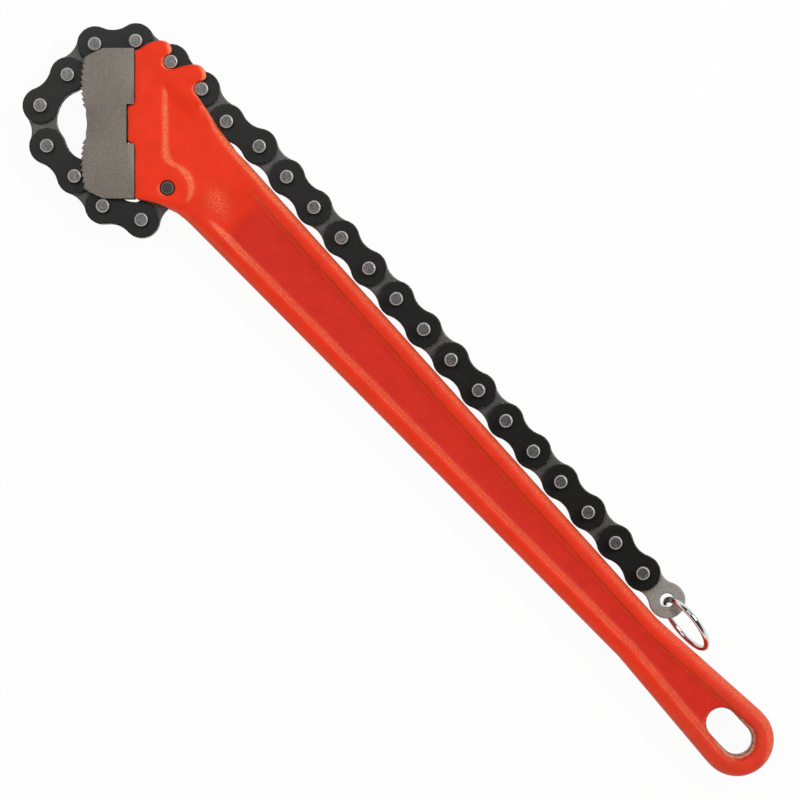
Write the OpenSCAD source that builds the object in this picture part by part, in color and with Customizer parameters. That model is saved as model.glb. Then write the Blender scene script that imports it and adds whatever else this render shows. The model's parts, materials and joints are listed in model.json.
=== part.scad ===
// Chain pipe wrench, lying on its side with the chain hooked up for storage. +X runs along the handle from
// the head to the tip, +Y points to the side on which the free chain lies and +Z points up. The origin is on
// the resting plane, under the middle of the whole wrench. Lengths are in millimetres, angles in degrees.

/* [Handle] */
// Length from the nose of the jaw to the tip of the handle
overall_length = 457; // [440:1:480]
// Width of the beam at its root, behind the head
root_width = 38; // [35:0.5:41]
// Width of the beam at its waist, in front of the round end
waist_width = 25.2; // [23:0.2:28]
// Distance from the root to the middle of the jaw's back
root_distance = 70; // [60:1:80]
// Distance from the middle of the round end back to the waist
waist_setback = 67; // [60:1:75]
// Thickness of the beam over its flanges
beam_thickness = 25.4; // [23:0.2:28]
// Rounding of the outer edges of the beam
edge_radius = 5; // [2:0.5:6]
// Width of each flange beside the channel
flange_width = 7; // [6:0.5:8]
// Depth of the channel in each face
channel_depth = 3.5; // [2.5:0.5:6]
// Width over which the walls of the channel slope
channel_draft = 1.4; // [0.8:0.1:2]
// Length of the ramp at the head end of the channel
channel_ramp_length = 18; // [8:1:25]
// Diameter of the round end
end_diameter = 34.4; // [32:0.2:38]
// Offset of the round end towards the chain
end_offset = 1; // [0:0.5:2]
// Width of the flange round the end of the channel
end_flange_width = 7.6; // [6:0.1:8]
// Length of the hanging slot
hang_slot_length = 25; // [20:0.5:28]
// Width of the hanging slot
hang_slot_width = 14.5; // [12:0.5:16]

/* [Head] */
// Thickness of the head over its two cheeks
head_thickness = 30; // [29:0.2:33]
// Width of the slot between the cheeks
fork_slot_width = 16; // [15.5:0.1:17]
// Angle from the handle to the line square to the jaw's back
jaw_angle = 46.7; // [44:0.1:49]
// Distance of the jaw's middle from the handle's axis, away from the free chain
jaw_offset = 6.4; // [5:0.1:8]
// Depth of the raised strip of each cheek behind the jaw
strip_depth = 14.2; // [12:0.2:16]
// Radius of the raised boss round the anchor pin
boss_radius = 10.9; // [9.5:0.1:12]
// Radius in which the strip runs into the boss
boss_fillet = 6; // [4:0.5:8]
// Radius of the nose of the first hook lug
first_lug_radius = 4.9; // [4.5:0.1:5.2]
// Radius of the nose of the second hook lug
second_lug_radius = 5.4; // [5:0.1:5.6]
// Radius of the back of the first hook lug
first_back_radius = 16.5; // [15:0.5:18]
// Radius of the back of the second hook lug
second_back_radius = 26; // [24:0.5:30]
// Radius of the lip of a hook lug
lip_radius = 1.2; // [1:0.1:1.6]
// Direction in which a pin leaves the hook lugs
mouth_angle = 64; // [61:1:66]
// Radius in which the upper edge of the head runs into the beam
neck_top_radius = 150; // [100:10:200]
// Radius in which the lower edge of the head runs into the beam
neck_bottom_radius = 40; // [30:1:42]

/* [Jaw] */
// Depth of the jaw from its back to the tips of its teeth
jaw_depth = 25; // [23:0.1:25.2]
// Length of one tooth along the jaw
tooth_pitch = 2.55; // [2:0.05:4]
// Depth of a tooth
tooth_depth = 1.1; // [0.6:0.1:1.5]
// Radius of each toothed lobe
lobe_radius = 45; // [35:1:60]
// Half the height of the hollow between the lobes
hollow_half = 6.4; // [5:0.1:8]
// Radius of the hollow between the lobes
hollow_radius = 15; // [12:0.5:20]
// Height of the cheek's tongue that keys the jaw
tongue_height = 17.6; // [12:0.2:22]
// Depth of the cheek's tongue
tongue_depth = 3.3; // [2:0.1:5]
// Gap round the tongue
seam_gap = 0.3; // [0.1:0.05:0.5]
// How far the jaw's face lies below the cheek's face
jaw_set_back = 0.2; // [0:0.1:0.6]

/* [Chain] */
// Distance from pin to pin
chain_pitch = 19.05; // [18:0.05:20]
// Width of a plate round its pins
plate_width = 17; // [15:0.1:17.6]
// Width of a plate at its waist
plate_waist = 12.2; // [10:0.1:14]
// Thickness of one outer plate
outer_plate_thickness = 3; // [2:0.1:3.2]
// Thickness of one inner plate
inner_plate_thickness = 4; // [3:0.1:4.2]
// Diameter of the pins
pin_diameter = 6.2; // [5.5:0.1:6.6]
// Length of the chain's pins
pin_length = 29.4; // [26:0.1:29.4]
// Chamfer at the ends of the pins
pin_chamfer = 0.5; // [0.2:0.1:1]
// Distance of the anchor pin behind the jaw's back
anchor_depth = 15.4; // [14:0.1:17]
// Distance of the anchor pin below the jaw's middle
anchor_drop = 29.8; // [28:0.1:31]
// Distance from the last pin to the ring's hole
end_hole_spacing = 17.2; // [17.2:0.1:20]
// Diameter of the ring's hole
end_hole_diameter = 6.6; // [6.4:0.1:7]

/* [Ring] */
// Outer diameter of the end ring
ring_diameter = 31.2; // [28:0.2:31.2]
// Diameter of the ring's wire
wire_diameter = 2.9; // [2:0.1:3]
// Lean of the ring from upright
ring_lean = 18; // [16:1:20]
// Turn of the ring from the end link, towards the handle
ring_turn = 3; // [0:0.5:4]

/* [Fits] */
// Radial clearance of a pin in the plates that turn on it
running_clearance = 0.1; // [0.05:0.01:0.2]
// Gap between plates that lie side by side
plate_gap = 0.25; // [0.1:0.05:0.4]
// Gap between a pin and the jaw, cheek or hook that it rests on
seat_gap = 0.3; // [0.2:0.05:0.5]
// Gap between the free chain and the edge of the handle
edge_gap = 0.6; // [0.3:0.1:1]
// Room between the first link and the floor of the fork
fork_room = 1.2; // [0.6:0.1:3]

/* [Hidden] */
$fn = 64;

handle_colour = [0.89, 0.22, 0.13];
jaw_colour = [0.46, 0.44, 0.41];
outer_link_colour = [0.14, 0.14, 0.14];
inner_link_colour = [0.35, 0.34, 0.33];
pin_colour = [0.48, 0.47, 0.46];
end_link_colour = [0.43, 0.41, 0.38];
ring_colour = [0.80, 0.80, 0.82];

// Directions of the first links, from the anchor round the loop to the hooks and down into the head
loop_angles = [-83, -153, 180, 179, 146, 95, 95, 51, 16, 5, -6];
// Places of a lug's round top and of its lip, seen from the pin that it holds
lug_tops = [[-6.7, 0.3], [-6.6, 1.9]];
lug_lips = [[-4.6, 2.4], [-3.6, 3.9]];
// Corner of the jaw above and below its teeth: where its flat edge ends, and two points of its slope
corner_flat = 14.5;
corner_knee = 21;
knee_drop = 3.1;
corner_drop = 4.7;
// Distance in front of the jaw's back at which the first lug starts
lug_setback = 0.65;
// Directions in which the lugs' noses run into their backs, and how far the backs turn from there
lug_backs = [138, 138];
back_turns = [44, 20];
// Where the cheek's edge leaves the second hook: past its pin and below its pocket
heel_run = 1.5;
heel_drop = 0.1;
// Outline of the raised field under the lugs, seen from the second hook's pin
lug_field = [[5, 20], [5, -11], [-8, -11], [-40, 0], [-40, 20]];
// Distances behind the anchor at which the upper and the lower edge of the head meet the beam
neck_top_setback = 4;
neck_bottom_setback = 8;
// Number of flats in the rounding of the beam's edges and in the curves of the head's outline
edge_steps = 5;
curve_steps = 6;
// Step between faces that would otherwise coincide or touch, such as those of the stretches of the beam
ledge = 0.1;
// How far bodies that are joined run into each other, and how far cutting bodies stand out of the metal
overlap = 5;
lap = 2;
clear = 1;
// Places in the chain of the pin under the jaw, the pin on top of it and the pin in the first hook
pin_under_jaw = 2;
pin_on_jaw = 8;
pin_in_hook = 9;

pin_r = pin_diameter / 2;
plate_r = plate_width / 2;
seat_r = pin_r + seat_gap;
lug_radii = [first_lug_radius, second_lug_radius];
back_radii = [first_back_radius, second_back_radius];
jaw_origin = [0, -jaw_offset];

function direction(a) = [cos(a), sin(a)];
function bearing(a, b) = atan2(b.y - a.y, b.x - a.x);
function unit(v) = v / norm(v);
function arc(middle, r, start, turn) =
    [for (i = [0 : curve_steps]) middle + r * direction(start + turn * i / curve_steps)];
// The corner at p, between the edges to a and b, drawn as an arc of the given radius
function round_corner(a, p, b, r) =
    let (
        u = unit(a - p),
        v = unit(b - p),
        half = acos(u * v) / 2,
        middle = p + unit(u + v) * r / sin(half),
        start = bearing(middle, p + u * r / tan(half)),
        turn = bearing(middle, p + v * r / tan(half)) - start
    )
    arc(middle, r, start, turn - 360 * round(turn / 360));
function from_head(p) = jaw_origin + p.x * direction(jaw_angle) + p.y * direction(jaw_angle + 90);
function to_head(p) = [(p - jaw_origin) * direction(jaw_angle), (p - jaw_origin) * direction(jaw_angle + 90)];

// The loop of the chain, which the jaw and the hook lugs follow
anchor = from_head([anchor_depth, -anchor_drop]);
function walk(start, angles, i) =
    i == 0 ? start : walk(start, angles, i - 1) + chain_pitch * direction(angles[i - 1]);
loop_pins = [for (i = [0 : len(loop_angles)]) walk(anchor, loop_angles, i)];
hook_pins = [loop_pins[pin_in_hook], loop_pins[pin_in_hook + 1]];
loose_pins = [for (i = [1 : pin_on_jaw]) loop_pins[i]];

// The jaw reaches from the pins that lie under it to those that lie on it
jaw_top = to_head(loop_pins[pin_on_jaw]).y - seat_r;
jaw_bottom = to_head(loop_pins[pin_under_jaw]).y + seat_r;
nose = from_head([-jaw_depth, jaw_top - corner_drop]);

// The beam: a straight taper from root to waist, then a flare to the round end
end_r = end_diameter / 2;
round_end = [nose.x + overall_length - end_r, end_offset];
waist_x = round_end.x - waist_setback;
taper = atan((root_width - waist_width) / 2 / (waist_x - root_distance));
function edge_y(x) = root_width / 2 - (x - root_distance) * tan(taper);
waist_top = [waist_x, waist_width / 2];
waist_bottom = [waist_x, -waist_width / 2];
flare_start_top = waist_top - [0, ledge];
flare_start_bottom = waist_bottom + [0, ledge];
flare_r = end_r + ledge;
flare_top = bearing(flare_start_top, round_end) + asin(flare_r / norm(round_end - flare_start_top));
flare_bottom = bearing(flare_start_bottom, round_end) - asin(flare_r / norm(round_end - flare_start_bottom));
flare_end_top = round_end + flare_r * direction(flare_top + 90);
flare_end_bottom = round_end + flare_r * direction(flare_bottom - 90);
flare_end_x = (flare_end_top.x + flare_end_bottom.x) / 2;

// The neck, where the head's edges run into the beam, and the floor of the fork
fork_floor = anchor.x + plate_r + fork_room;
function edge_point(x, side) = [x, side * edge_y(x)];
neck_top = edge_point(anchor.x + neck_top_setback, 1);
neck_bottom = edge_point(anchor.x + neck_bottom_setback, -1);
beam_start = fork_floor + fork_slot_width;
channel_start = beam_start - overlap;

// The free chain: one link climbs out of the fork, and the rest lie along the edge of the handle
tail_height = plate_r + edge_gap;
tail_start = loop_pins[len(loop_angles)];
height_there = (tail_start - [tail_start.x, edge_y(tail_start.x)]) * direction(90 - taper);
climb_angle = asin((tail_height - height_there) / chain_pitch) - taper;
climb_pin = tail_start + chain_pitch * direction(climb_angle);
tail_links = 2 * floor(((waist_x - climb_pin.x) / chain_pitch - 1) / 2) + 1;
link_count = len(loop_angles) + 1 + tail_links;
tail_pins = [for (i = [1 : tail_links - 1]) climb_pin + i * chain_pitch * direction(-taper)];
end_hole = climb_pin + ((tail_links - 1) * chain_pitch + end_hole_spacing) * direction(-taper);
pins = concat(loop_pins, [climb_pin], tail_pins, [end_hole]);

// Levels of the plates, from the middle of the chain outwards
inner_level = plate_gap / 2;
outer_level = inner_level + inner_plate_thickness + plate_gap;
cheek_thickness = (head_thickness - fork_slot_width) / 2;

// The middle of everything, which the origin lies under
reach_left = min([for (p = pins) p.x]) - plate_r;
reach_right = round_end.x + end_r;
reach_down = min([for (p = pins) p.y]) - plate_r;
reach_up = max([for (p = pins) p.y]) + plate_r;
middle = [(reach_left + reach_right) / 2, (reach_down + reach_up) / 2];

inner_links = [for (i = [1 : 2 : link_count - 2]) i];
outer_links = [for (i = [2 : 2 : link_count - 1]) i];
function numbered(name, i) = str(name, "_", i < 10 ? "0" : "", i);

// Everything below is drawn about the middle plane of the chain and set on the resting plane here
module placed() {
    translate([-middle.x, -middle.y, head_thickness / 2]) children();
}

module at(p) {
    translate([p.x, p.y, 0]) children();
}

module in_head() {
    at(jaw_origin) rotate(jaw_angle) children();
}

// Turns a profile drawn across the beam (width, height) into a bar from a to b
module bar(a, b) {
    at(a) rotate(bearing(a, b)) rotate([90, 0, 90]) linear_extrude(norm(b - a)) children();
}

module both_faces() {
    for (flip = [0, 1]) mirror([0, 0, flip]) children();
}

// Section of the beam with one rounded side: that side lies at x and the metal reaches from start to it. The
// rounding is made of small flats, and the faces are set in by the given number of ledges.
module beam_profile(start, x, ledges) {
    face = beam_thickness / 2 - ledges * ledge;
    rounded_side = [for (side = [-1, 1]) for (i = [0 : edge_steps])
        let (a = (side - 1) * 45 + 90 * i / edge_steps)
        [x - edge_radius, side * (face - edge_radius)] + edge_radius * direction(a)];
    polygon(concat([[start, -face]], rounded_side, [[start, face]]));
}

// Section of the channel beside one flange, with its sloping wall, set in by the given number of ledges
module channel_profile(ledges) {
    face = beam_thickness / 2;
    floor_level = face - channel_depth + ledges * ledge;
    slope = channel_draft / channel_depth;
    side = -flange_width - ledges * ledge;
    polygon([
        [-root_width, floor_level],
        [side - channel_draft, floor_level],
        [side + slope * clear, face + clear],
        [-root_width, face + clear]
    ]);
}

// What lies between two edges of the beam, from x0 to x1: each edge cuts the given section
module between_edges(top_a, top_b, bottom_a, bottom_b, x0, x1) {
    top_step = overlap * direction(bearing(top_a, top_b));
    bottom_step = overlap * direction(bearing(bottom_a, bottom_b));
    intersection() {
        bar(top_a - top_step, top_b + top_step) children();
        bar(bottom_a - bottom_step, bottom_b + bottom_step) mirror([1, 0]) children();
        translate([x0, -root_width, -beam_thickness]) cube([x1 - x0, 2 * root_width, 2 * beam_thickness]);
    }
}

module beam() {
    start_top = edge_point(beam_start, 1);
    start_bottom = edge_point(beam_start, -1);
    width = 2 * root_width;
    between_edges(start_top, waist_top, start_bottom, waist_bottom, beam_start, waist_x)
        beam_profile(-width, 0, 0);
    between_edges(flare_start_top, flare_end_top, flare_start_bottom, flare_end_bottom,
        waist_x - lap, flare_end_x)
        beam_profile(-width, 0, 1);
    at(round_end) rotate_extrude() beam_profile(0, end_r, 2);
}

// The ramp on which the channel runs out towards the head, in the upper face
module channel_ramp() {
    face = beam_thickness / 2;
    run = channel_ramp_length + clear;
    translate([channel_start, root_width, 0]) rotate([90, 0, 0]) linear_extrude(2 * root_width)
        polygon([
            [0, face],
            [run, face - channel_depth * run / channel_ramp_length],
            [run, 0],
            [-clear, 0],
            [-clear, face]
        ]);
}

module channel() {
    start_top = edge_point(channel_start, 1);
    start_bottom = edge_point(channel_start, -1);
    difference() {
        between_edges(start_top, waist_top, start_bottom, waist_bottom, channel_start, waist_x)
            channel_profile(0);
        channel_ramp();
    }
    between_edges(flare_start_top, flare_end_top, flare_start_bottom, flare_end_bottom,
        waist_x - lap, flare_end_x)
        channel_profile(1);
    at(round_end) translate([0, 0, beam_thickness / 2 - channel_depth + 2 * ledge])
        cylinder(r = end_r - end_flange_width, h = channel_depth + clear);
}

// The hanging slot lies with its outer end concentric with the round end
module hanging_slot() {
    slot_r = hang_slot_width / 2;
    straight = hang_slot_length - hang_slot_width;
    at(round_end) {
        cylinder(r = slot_r, h = 2 * beam_thickness, center = true);
        translate([-straight, 0, 0]) cylinder(r = slot_r, h = 2 * beam_thickness, center = true);
        translate([-straight / 2, 0, 0]) cube([straight, hang_slot_width, 2 * beam_thickness], center = true);
    }
}

// The back of a hook lug, an arc that runs on from just inside its nose
function lug_back(i) =
    let (
        r = back_radii[i],
        middle_of_back = hook_pins[i] + lug_tops[i] - (r - lug_radii[i]) * direction(lug_backs[i])
    )
    arc(middle_of_back, r - ledge, lug_backs[i], back_turns[i]);

// The nose of a hook lug with its lip, seen from the pin that it holds
module lug(i) {
    top = lug_tops[i];
    lip = lug_lips[i];
    at(hook_pins[i]) {
        at(top) circle(lug_radii[i]);
        at(lip) circle(lip_radius);
        polygon([top, top + [0, lug_radii[i] - ledge], lip + [0, lip_radius - ledge], lip]);
    }
}

// The pocket in which a pin lodges, open towards its slightly wider mouth
module hook_notch(p) {
    mouth_length = 4 * seat_r;
    mouth_half = seat_r + ledge;
    at(p) {
        circle(seat_r);
        rotate(mouth_angle) translate([0, -mouth_half]) square([mouth_length, 2 * mouth_half]);
    }
}

// Room for the chain's pins that lie against the head
module pin_room() {
    for (p = loose_pins) at(p) circle(seat_r);
}

module head_outline() {
    heel = hook_pins[1] + [heel_run, -seat_r - heel_drop];
    foot = from_head([0, jaw_bottom]);
    beam_end_top = edge_point(beam_start + overlap, 1);
    beam_end_bottom = edge_point(beam_start + overlap, -1);
    difference() {
        union() {
            polygon(concat(
                [foot],
                round_corner(foot, neck_bottom, beam_end_bottom, neck_bottom_radius),
                [beam_end_bottom, beam_end_top],
                round_corner(beam_end_top, neck_top, heel, neck_top_radius),
                [heel, hook_pins[1] + lug_tops[1]],
                lug_back(1),
                [hook_pins[0], hook_pins[0] + lug_tops[0]],
                lug_back(0),
                [from_head([0, jaw_top - lug_setback])]
            ));
            lug(0);
            lug(1);
            in_head() translate([-tongue_depth, -tongue_height / 2])
                square([tongue_depth + clear, tongue_height]);
        }
        for (p = hook_pins) hook_notch(p);
        pin_room();
    }
}

// What stands higher than the beam on each cheek: the strip behind the jaw, the anchor boss and the lugs
module raised_area() {
    in_head() translate([-tongue_depth - clear, jaw_bottom - overlap])
        square([tongue_depth + clear + strip_depth, jaw_top - jaw_bottom + 2 * overlap]);
    at(anchor) circle(boss_radius);
    in_head() boss_corner();
    at(hook_pins[1]) polygon(lug_field);
}

// Fills the corner between the strip and the boss up to the fillet
module boss_corner() {
    across = strip_depth + boss_fillet - anchor_depth;
    rise = sqrt(pow(boss_radius + boss_fillet, 2) - pow(across, 2));
    middle_of_fillet = [strip_depth + boss_fillet, rise - anchor_drop];
    touch = bearing(middle_of_fillet, [anchor_depth, -anchor_drop]) + 360;
    polygon(concat(
        [[strip_depth - clear, middle_of_fillet.y]],
        arc(middle_of_fillet, boss_fillet - ledge / 2, 180, touch - 180),
        [[anchor_depth, -anchor_drop], [strip_depth - clear, -anchor_drop]]
    ));
}

module fork_slot() {
    slot_height = 2 * (reach_up - reach_down);
    translate([fork_floor - slot_height, -slot_height / 2, -fork_slot_width / 2])
        cube([slot_height, slot_height, fork_slot_width]);
    at([fork_floor, 0]) rotate([90, 0, 0]) cylinder(d = fork_slot_width, h = slot_height, center = true);
}

module anchor_bore() {
    at(anchor) {
        cylinder(d = pin_diameter, h = 2 * head_thickness, center = true);
        both_faces() translate([0, 0, head_thickness / 2 - pin_chamfer])
            cylinder(r1 = pin_r, r2 = pin_r + 2 * pin_chamfer, h = 2 * pin_chamfer);
    }
}

module handle() {
    color(handle_colour) placed() difference() {
        union() {
            beam();
            linear_extrude(beam_thickness, center = true) head_outline();
            linear_extrude(head_thickness, center = true) intersection() {
                head_outline();
                raised_area();
            }
        }
        both_faces() channel();
        hanging_slot();
        fork_slot();
        anchor_bore();
    }
}

// Saw teeth on one lobe, from the hollow outwards, over the given height of jaw
function lobe(height) =
    let (
        span = height - corner_drop - hollow_half,
        count = floor(span / tooth_pitch),
        step = span / count / lobe_radius * 180 / PI
    )
    [for (i = [0 : count - 1]) for (rise = [0, 1])
        let (
            r = lobe_radius - (1 - rise) * tooth_depth,
            a = (i + rise - count / 2) * step
        )
        [lobe_radius - jaw_depth - r * cos(a), hollow_half + span / 2 + r * sin(a)]];
function reversed(list) = [for (i = [len(list) - 1 : -1 : 0]) list[i]];
function below(list) = [for (p = list) [p.x, -p.y]];

module jaw_outline() {
    sag = lobe_radius * (1 - cos(asin((jaw_top - corner_drop - hollow_half) / 2 / lobe_radius)));
    hollow_x = -jaw_depth + sag + hollow_radius * (1 - cos(asin(hollow_half / hollow_radius)));
    difference() {
        polygon(concat(
            [[0, jaw_bottom], [0, jaw_top], [-corner_flat, jaw_top], [-corner_knee, jaw_top - knee_drop]],
            reversed(lobe(jaw_top)),
            below(lobe(-jaw_bottom)),
            [[-corner_knee, jaw_bottom + knee_drop], [-corner_flat, jaw_bottom]]
        ));
        translate([hollow_x - hollow_radius, 0]) circle(hollow_radius);
        translate([-tongue_depth - seam_gap, -tongue_height / 2 - seam_gap])
            square([2 * tongue_depth, tongue_height + 2 * seam_gap]);
        for (p = loose_pins) at(to_head(p)) circle(seat_r);
    }
}

module jaw_plate() {
    in_head() translate([0, 0, fork_slot_width / 2])
        linear_extrude(cheek_thickness - jaw_set_back) jaw_outline();
}

module jaw_plate_front() {
    color(jaw_colour) placed() jaw_plate();
}

module jaw_plate_back() {
    color(jaw_colour) placed() mirror([0, 0, 1]) jaw_plate();
}

// A round pin with chamfered ends
module pin(length) {
    rotate_extrude() polygon([
        [0, -length / 2],
        [pin_r - pin_chamfer, -length / 2],
        [pin_r, -length / 2 + pin_chamfer],
        [pin_r, length / 2 - pin_chamfer],
        [pin_r - pin_chamfer, length / 2],
        [0, length / 2]
    ]);
}

module anchor_pin() {
    color(outer_link_colour) placed() at(anchor) pin(pin_length);
}

// Outline of a link plate along +X: two round ends drawn in to a waist by arcs that touch them
module plate_outline(spacing) {
    half_waist = plate_waist / 2;
    arc_r = (pow(spacing / 2, 2) + pow(half_waist, 2) - pow(plate_r, 2)) / (2 * (plate_r - half_waist));
    touch_y = plate_r * (half_waist + arc_r) / (plate_r + arc_r);
    for (x = [0, spacing]) translate([x, 0]) circle(plate_r);
    difference() {
        translate([0, -touch_y]) square([spacing, 2 * touch_y]);
        for (side = [-1, 1]) translate([spacing / 2, side * (half_waist + arc_r)]) circle(arc_r);
    }
}

// A pair of plates from one pin of the chain to the next, with a hole of the given diameter at each end
module plate_pair(a, b, level, thickness, holes) {
    spacing = norm(b - a);
    at(a) rotate(bearing(a, b)) both_faces() translate([0, 0, level]) linear_extrude(thickness) difference() {
        plate_outline(spacing);
        circle(d = holes[0]);
        translate([spacing, 0]) circle(d = holes[1]);
    }
}

turning_hole = pin_diameter + 2 * running_clearance;

module inner_link(i) {
    color(inner_link_colour) placed()
        plate_pair(pins[i - 1], pins[i], inner_level, inner_plate_thickness, [turning_hole, turning_hole]);
}

module outer_link(i) {
    color(outer_link_colour) placed()
        plate_pair(pins[i - 1], pins[i], outer_level, outer_plate_thickness, [pin_diameter, pin_diameter]);
}

module link_pins(i) {
    color(pin_colour) placed() {
        at(pins[i - 1]) pin(pin_length);
        at(pins[i]) pin(pin_length);
    }
}

module end_link() {
    color(end_link_colour) placed()
        plate_pair(
            pins[link_count - 1], end_hole, inner_level, inner_plate_thickness,
            [turning_hole, end_hole_diameter]
        );
}

// The ring stands almost upright, with its wire through the middle of the end link's hole
module end_ring() {
    ring_r = (ring_diameter - wire_diameter) / 2;
    color(ring_colour) placed() at(end_hole) rotate(-taper - ring_turn) translate([ring_r, 0, 0])
        rotate([90 - ring_lean, 0, 0]) rotate_extrude() translate([ring_r, 0]) circle(d = wire_diameter);
}

handle();
jaw_plate_front();
jaw_plate_back();
anchor_pin();
for (i = inner_links) inner_link(i);
for (i = outer_links) outer_link(i);
for (i = outer_links) link_pins(i);
end_link();
end_ring();
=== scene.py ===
import json
import math

import bmesh
import bpy
import numpy as np
from mathutils import Matrix, Vector
from mathutils.kdtree import KDTree


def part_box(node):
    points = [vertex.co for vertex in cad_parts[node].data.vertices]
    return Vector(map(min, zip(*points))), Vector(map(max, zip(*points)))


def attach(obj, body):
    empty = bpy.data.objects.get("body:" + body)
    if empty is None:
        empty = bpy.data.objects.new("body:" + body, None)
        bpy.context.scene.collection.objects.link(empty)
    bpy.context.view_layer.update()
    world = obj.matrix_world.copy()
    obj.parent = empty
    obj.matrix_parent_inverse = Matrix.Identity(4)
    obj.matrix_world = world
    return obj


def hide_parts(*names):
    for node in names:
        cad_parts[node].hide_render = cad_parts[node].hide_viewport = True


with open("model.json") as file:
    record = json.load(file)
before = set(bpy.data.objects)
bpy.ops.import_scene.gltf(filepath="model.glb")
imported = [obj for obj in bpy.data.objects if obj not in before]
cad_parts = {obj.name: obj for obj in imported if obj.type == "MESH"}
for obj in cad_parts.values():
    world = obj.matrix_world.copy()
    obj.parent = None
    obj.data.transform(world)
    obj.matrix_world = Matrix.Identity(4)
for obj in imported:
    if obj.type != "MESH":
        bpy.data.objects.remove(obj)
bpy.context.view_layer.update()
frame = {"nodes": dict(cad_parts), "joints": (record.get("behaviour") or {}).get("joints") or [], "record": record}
nodes = frame["nodes"]
mm = 0.001  # the sizes below are in millimetres, the scene is in metres


# where the chain pins are: link n runs from pinPoint[n] to pinPoint[n + 1]
pinPoint = {}
for joint in frame["joints"]:
    if joint["child"].startswith("link_"):
        pinPoint[int(joint["child"].removeprefix("link_"))] = Vector(joint["pos_m"])
    if joint["child"] == "ring":
        ringPoint = Vector(joint["pos_m"])
lastLink = max(pinPoint)
pinPoint[lastLink + 1] = ringPoint
anchorPoint = pinPoint[1]
hookPins = [pinPoint[10], pinPoint[11]]  # the two that lodge in the hook lugs
midHeight = anchorPoint.z
slotMount = next(mount for mount in frame["record"]["mounts"] if mount["name"] == "hanging_slot")
slotPoint = Vector(slotMount["pos_m"])
print("frame read:", len(nodes), "nodes,", lastLink, "links")


# helpers for node trees: a socket takes either a link or a plain value
def feed(tree, socket, value):
    if isinstance(value, bpy.types.NodeSocket):
        tree.links.new(value, socket)
    else:
        socket.default_value = value


def addNode(tree, kind, settings=None, **sockets):
    node = tree.nodes.new(kind)
    for name, value in (settings or {}).items():
        setattr(node, name, value)
    for name, value in sockets.items():
        feed(tree, node.inputs[name.replace("_", " ")], value)
    return node


def maths(tree, operation, first, second=0.0, third=0.0):
    node = addNode(tree, "ShaderNodeMath", {"operation": operation})
    for socket, value in zip(node.inputs, (first, second, third)):
        feed(tree, socket, value)
    return node.outputs[0]


def ramp(tree, value, low, high, toLow=0.0, toHigh=1.0):
    node = addNode(tree, "ShaderNodeMapRange", {"interpolation_type": "SMOOTHSTEP"}, Value=value,
                   From_Min=low, From_Max=high, To_Min=toLow, To_Max=toHigh)
    return node.outputs["Result"]


# inputs 0, 6 and 7 of a colour mix are its share and its two colours
def mixColour(tree, share, first, second, blend="MIX"):
    node = addNode(tree, "ShaderNodeMix", {"data_type": "RGBA", "blend_type": blend})
    for index, value in ((0, share), (6, first), (7, second)):
        feed(tree, node.inputs[index], value)
    return node.outputs[2]


def srgb(red, green, blue):
    def linear(level):
        share = level / 255
        return share / 12.92 if share <= 0.04045 else ((share + 0.055) / 1.055) ** 2.4
    return (linear(red), linear(green), linear(blue), 1.0)


def inMetres(pair):
    return [value * mm for value in pair]


def startGroup(name, kind, inputs, outputs):
    tree = bpy.data.node_groups.new(name, kind)
    for label, socketType, value in inputs:
        socket = tree.interface.new_socket(label, in_out="INPUT", socket_type=socketType)
        if value is not None:
            socket.default_value = value
    for label, socketType in outputs:
        tree.interface.new_socket(label, in_out="OUTPUT", socket_type=socketType)
    return tree, tree.nodes.new("NodeGroupInput"), tree.nodes.new("NodeGroupOutput")


def useGroup(tree, group, **sockets):
    return addNode(tree, "ShaderNodeGroup", {"node_tree": group}, **sockets)


white = (1.0, 1.0, 1.0, 1.0)
perMetre = 1.0 / mm        # the scale of a noise counts per metre
noiseRange = (0.3, 0.7)    # where most of a noise lies
fineRange = (0.35, 0.65)   # the same, for a harder change
wornRange = (1.0, 1.14)    # mask and noise together wear through here
broadBumps = 2.0           # height of the slow unevenness against the fine bumps


# grain: fine bumps of paint or scale, with a slow unevenness below them
def makeGrainGroup():
    tree, given, result = startGroup(
        "grain", "ShaderNodeTree",
        [("Place", "NodeSocketVector", None),
         ("Size", "NodeSocketFloat", 0.6),
         ("Slow", "NodeSocketFloat", 9.0)],
        [("Height", "NodeSocketFloat"), ("Fine", "NodeSocketFloat"), ("Broad", "NodeSocketFloat")])
    place = given.outputs["Place"]
    fineScale = maths(tree, "DIVIDE", perMetre, given.outputs["Size"])
    slowScale = maths(tree, "DIVIDE", perMetre, given.outputs["Slow"])
    fine = addNode(tree, "ShaderNodeTexNoise", Vector=place, Scale=fineScale, Detail=1.5).outputs["Fac"]
    broad = addNode(tree, "ShaderNodeTexNoise", Vector=place, Scale=slowScale, Detail=2.0).outputs["Fac"]
    height = maths(tree, "MULTIPLY_ADD", broad, broadBumps, fine)
    for name, value in (("Height", height), ("Fine", fine), ("Broad", broad)):
        tree.links.new(value, result.inputs[name])
    return tree


# wear: a mask of 0 to 1, broken up into chips by a noise
def makeWearGroup():
    tree, given, result = startGroup(
        "wear", "ShaderNodeTree",
        [("Place", "NodeSocketVector", None),
         ("Mask", "NodeSocketFloat", 0.0),
         ("Size", "NodeSocketFloat", 1.5)],
        [("Worn", "NodeSocketFloat")])
    scale = maths(tree, "DIVIDE", perMetre, given.outputs["Size"])
    chips = addNode(tree, "ShaderNodeTexNoise", Vector=given.outputs["Place"], Scale=scale, Detail=3.0)
    level = maths(tree, "ADD", given.outputs["Mask"], chips.outputs["Fac"])
    tree.links.new(ramp(tree, level, *wornRange), result.inputs["Worn"])
    return tree


grainGroup = makeGrainGroup()
wearGroup = makeWearGroup()


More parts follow.
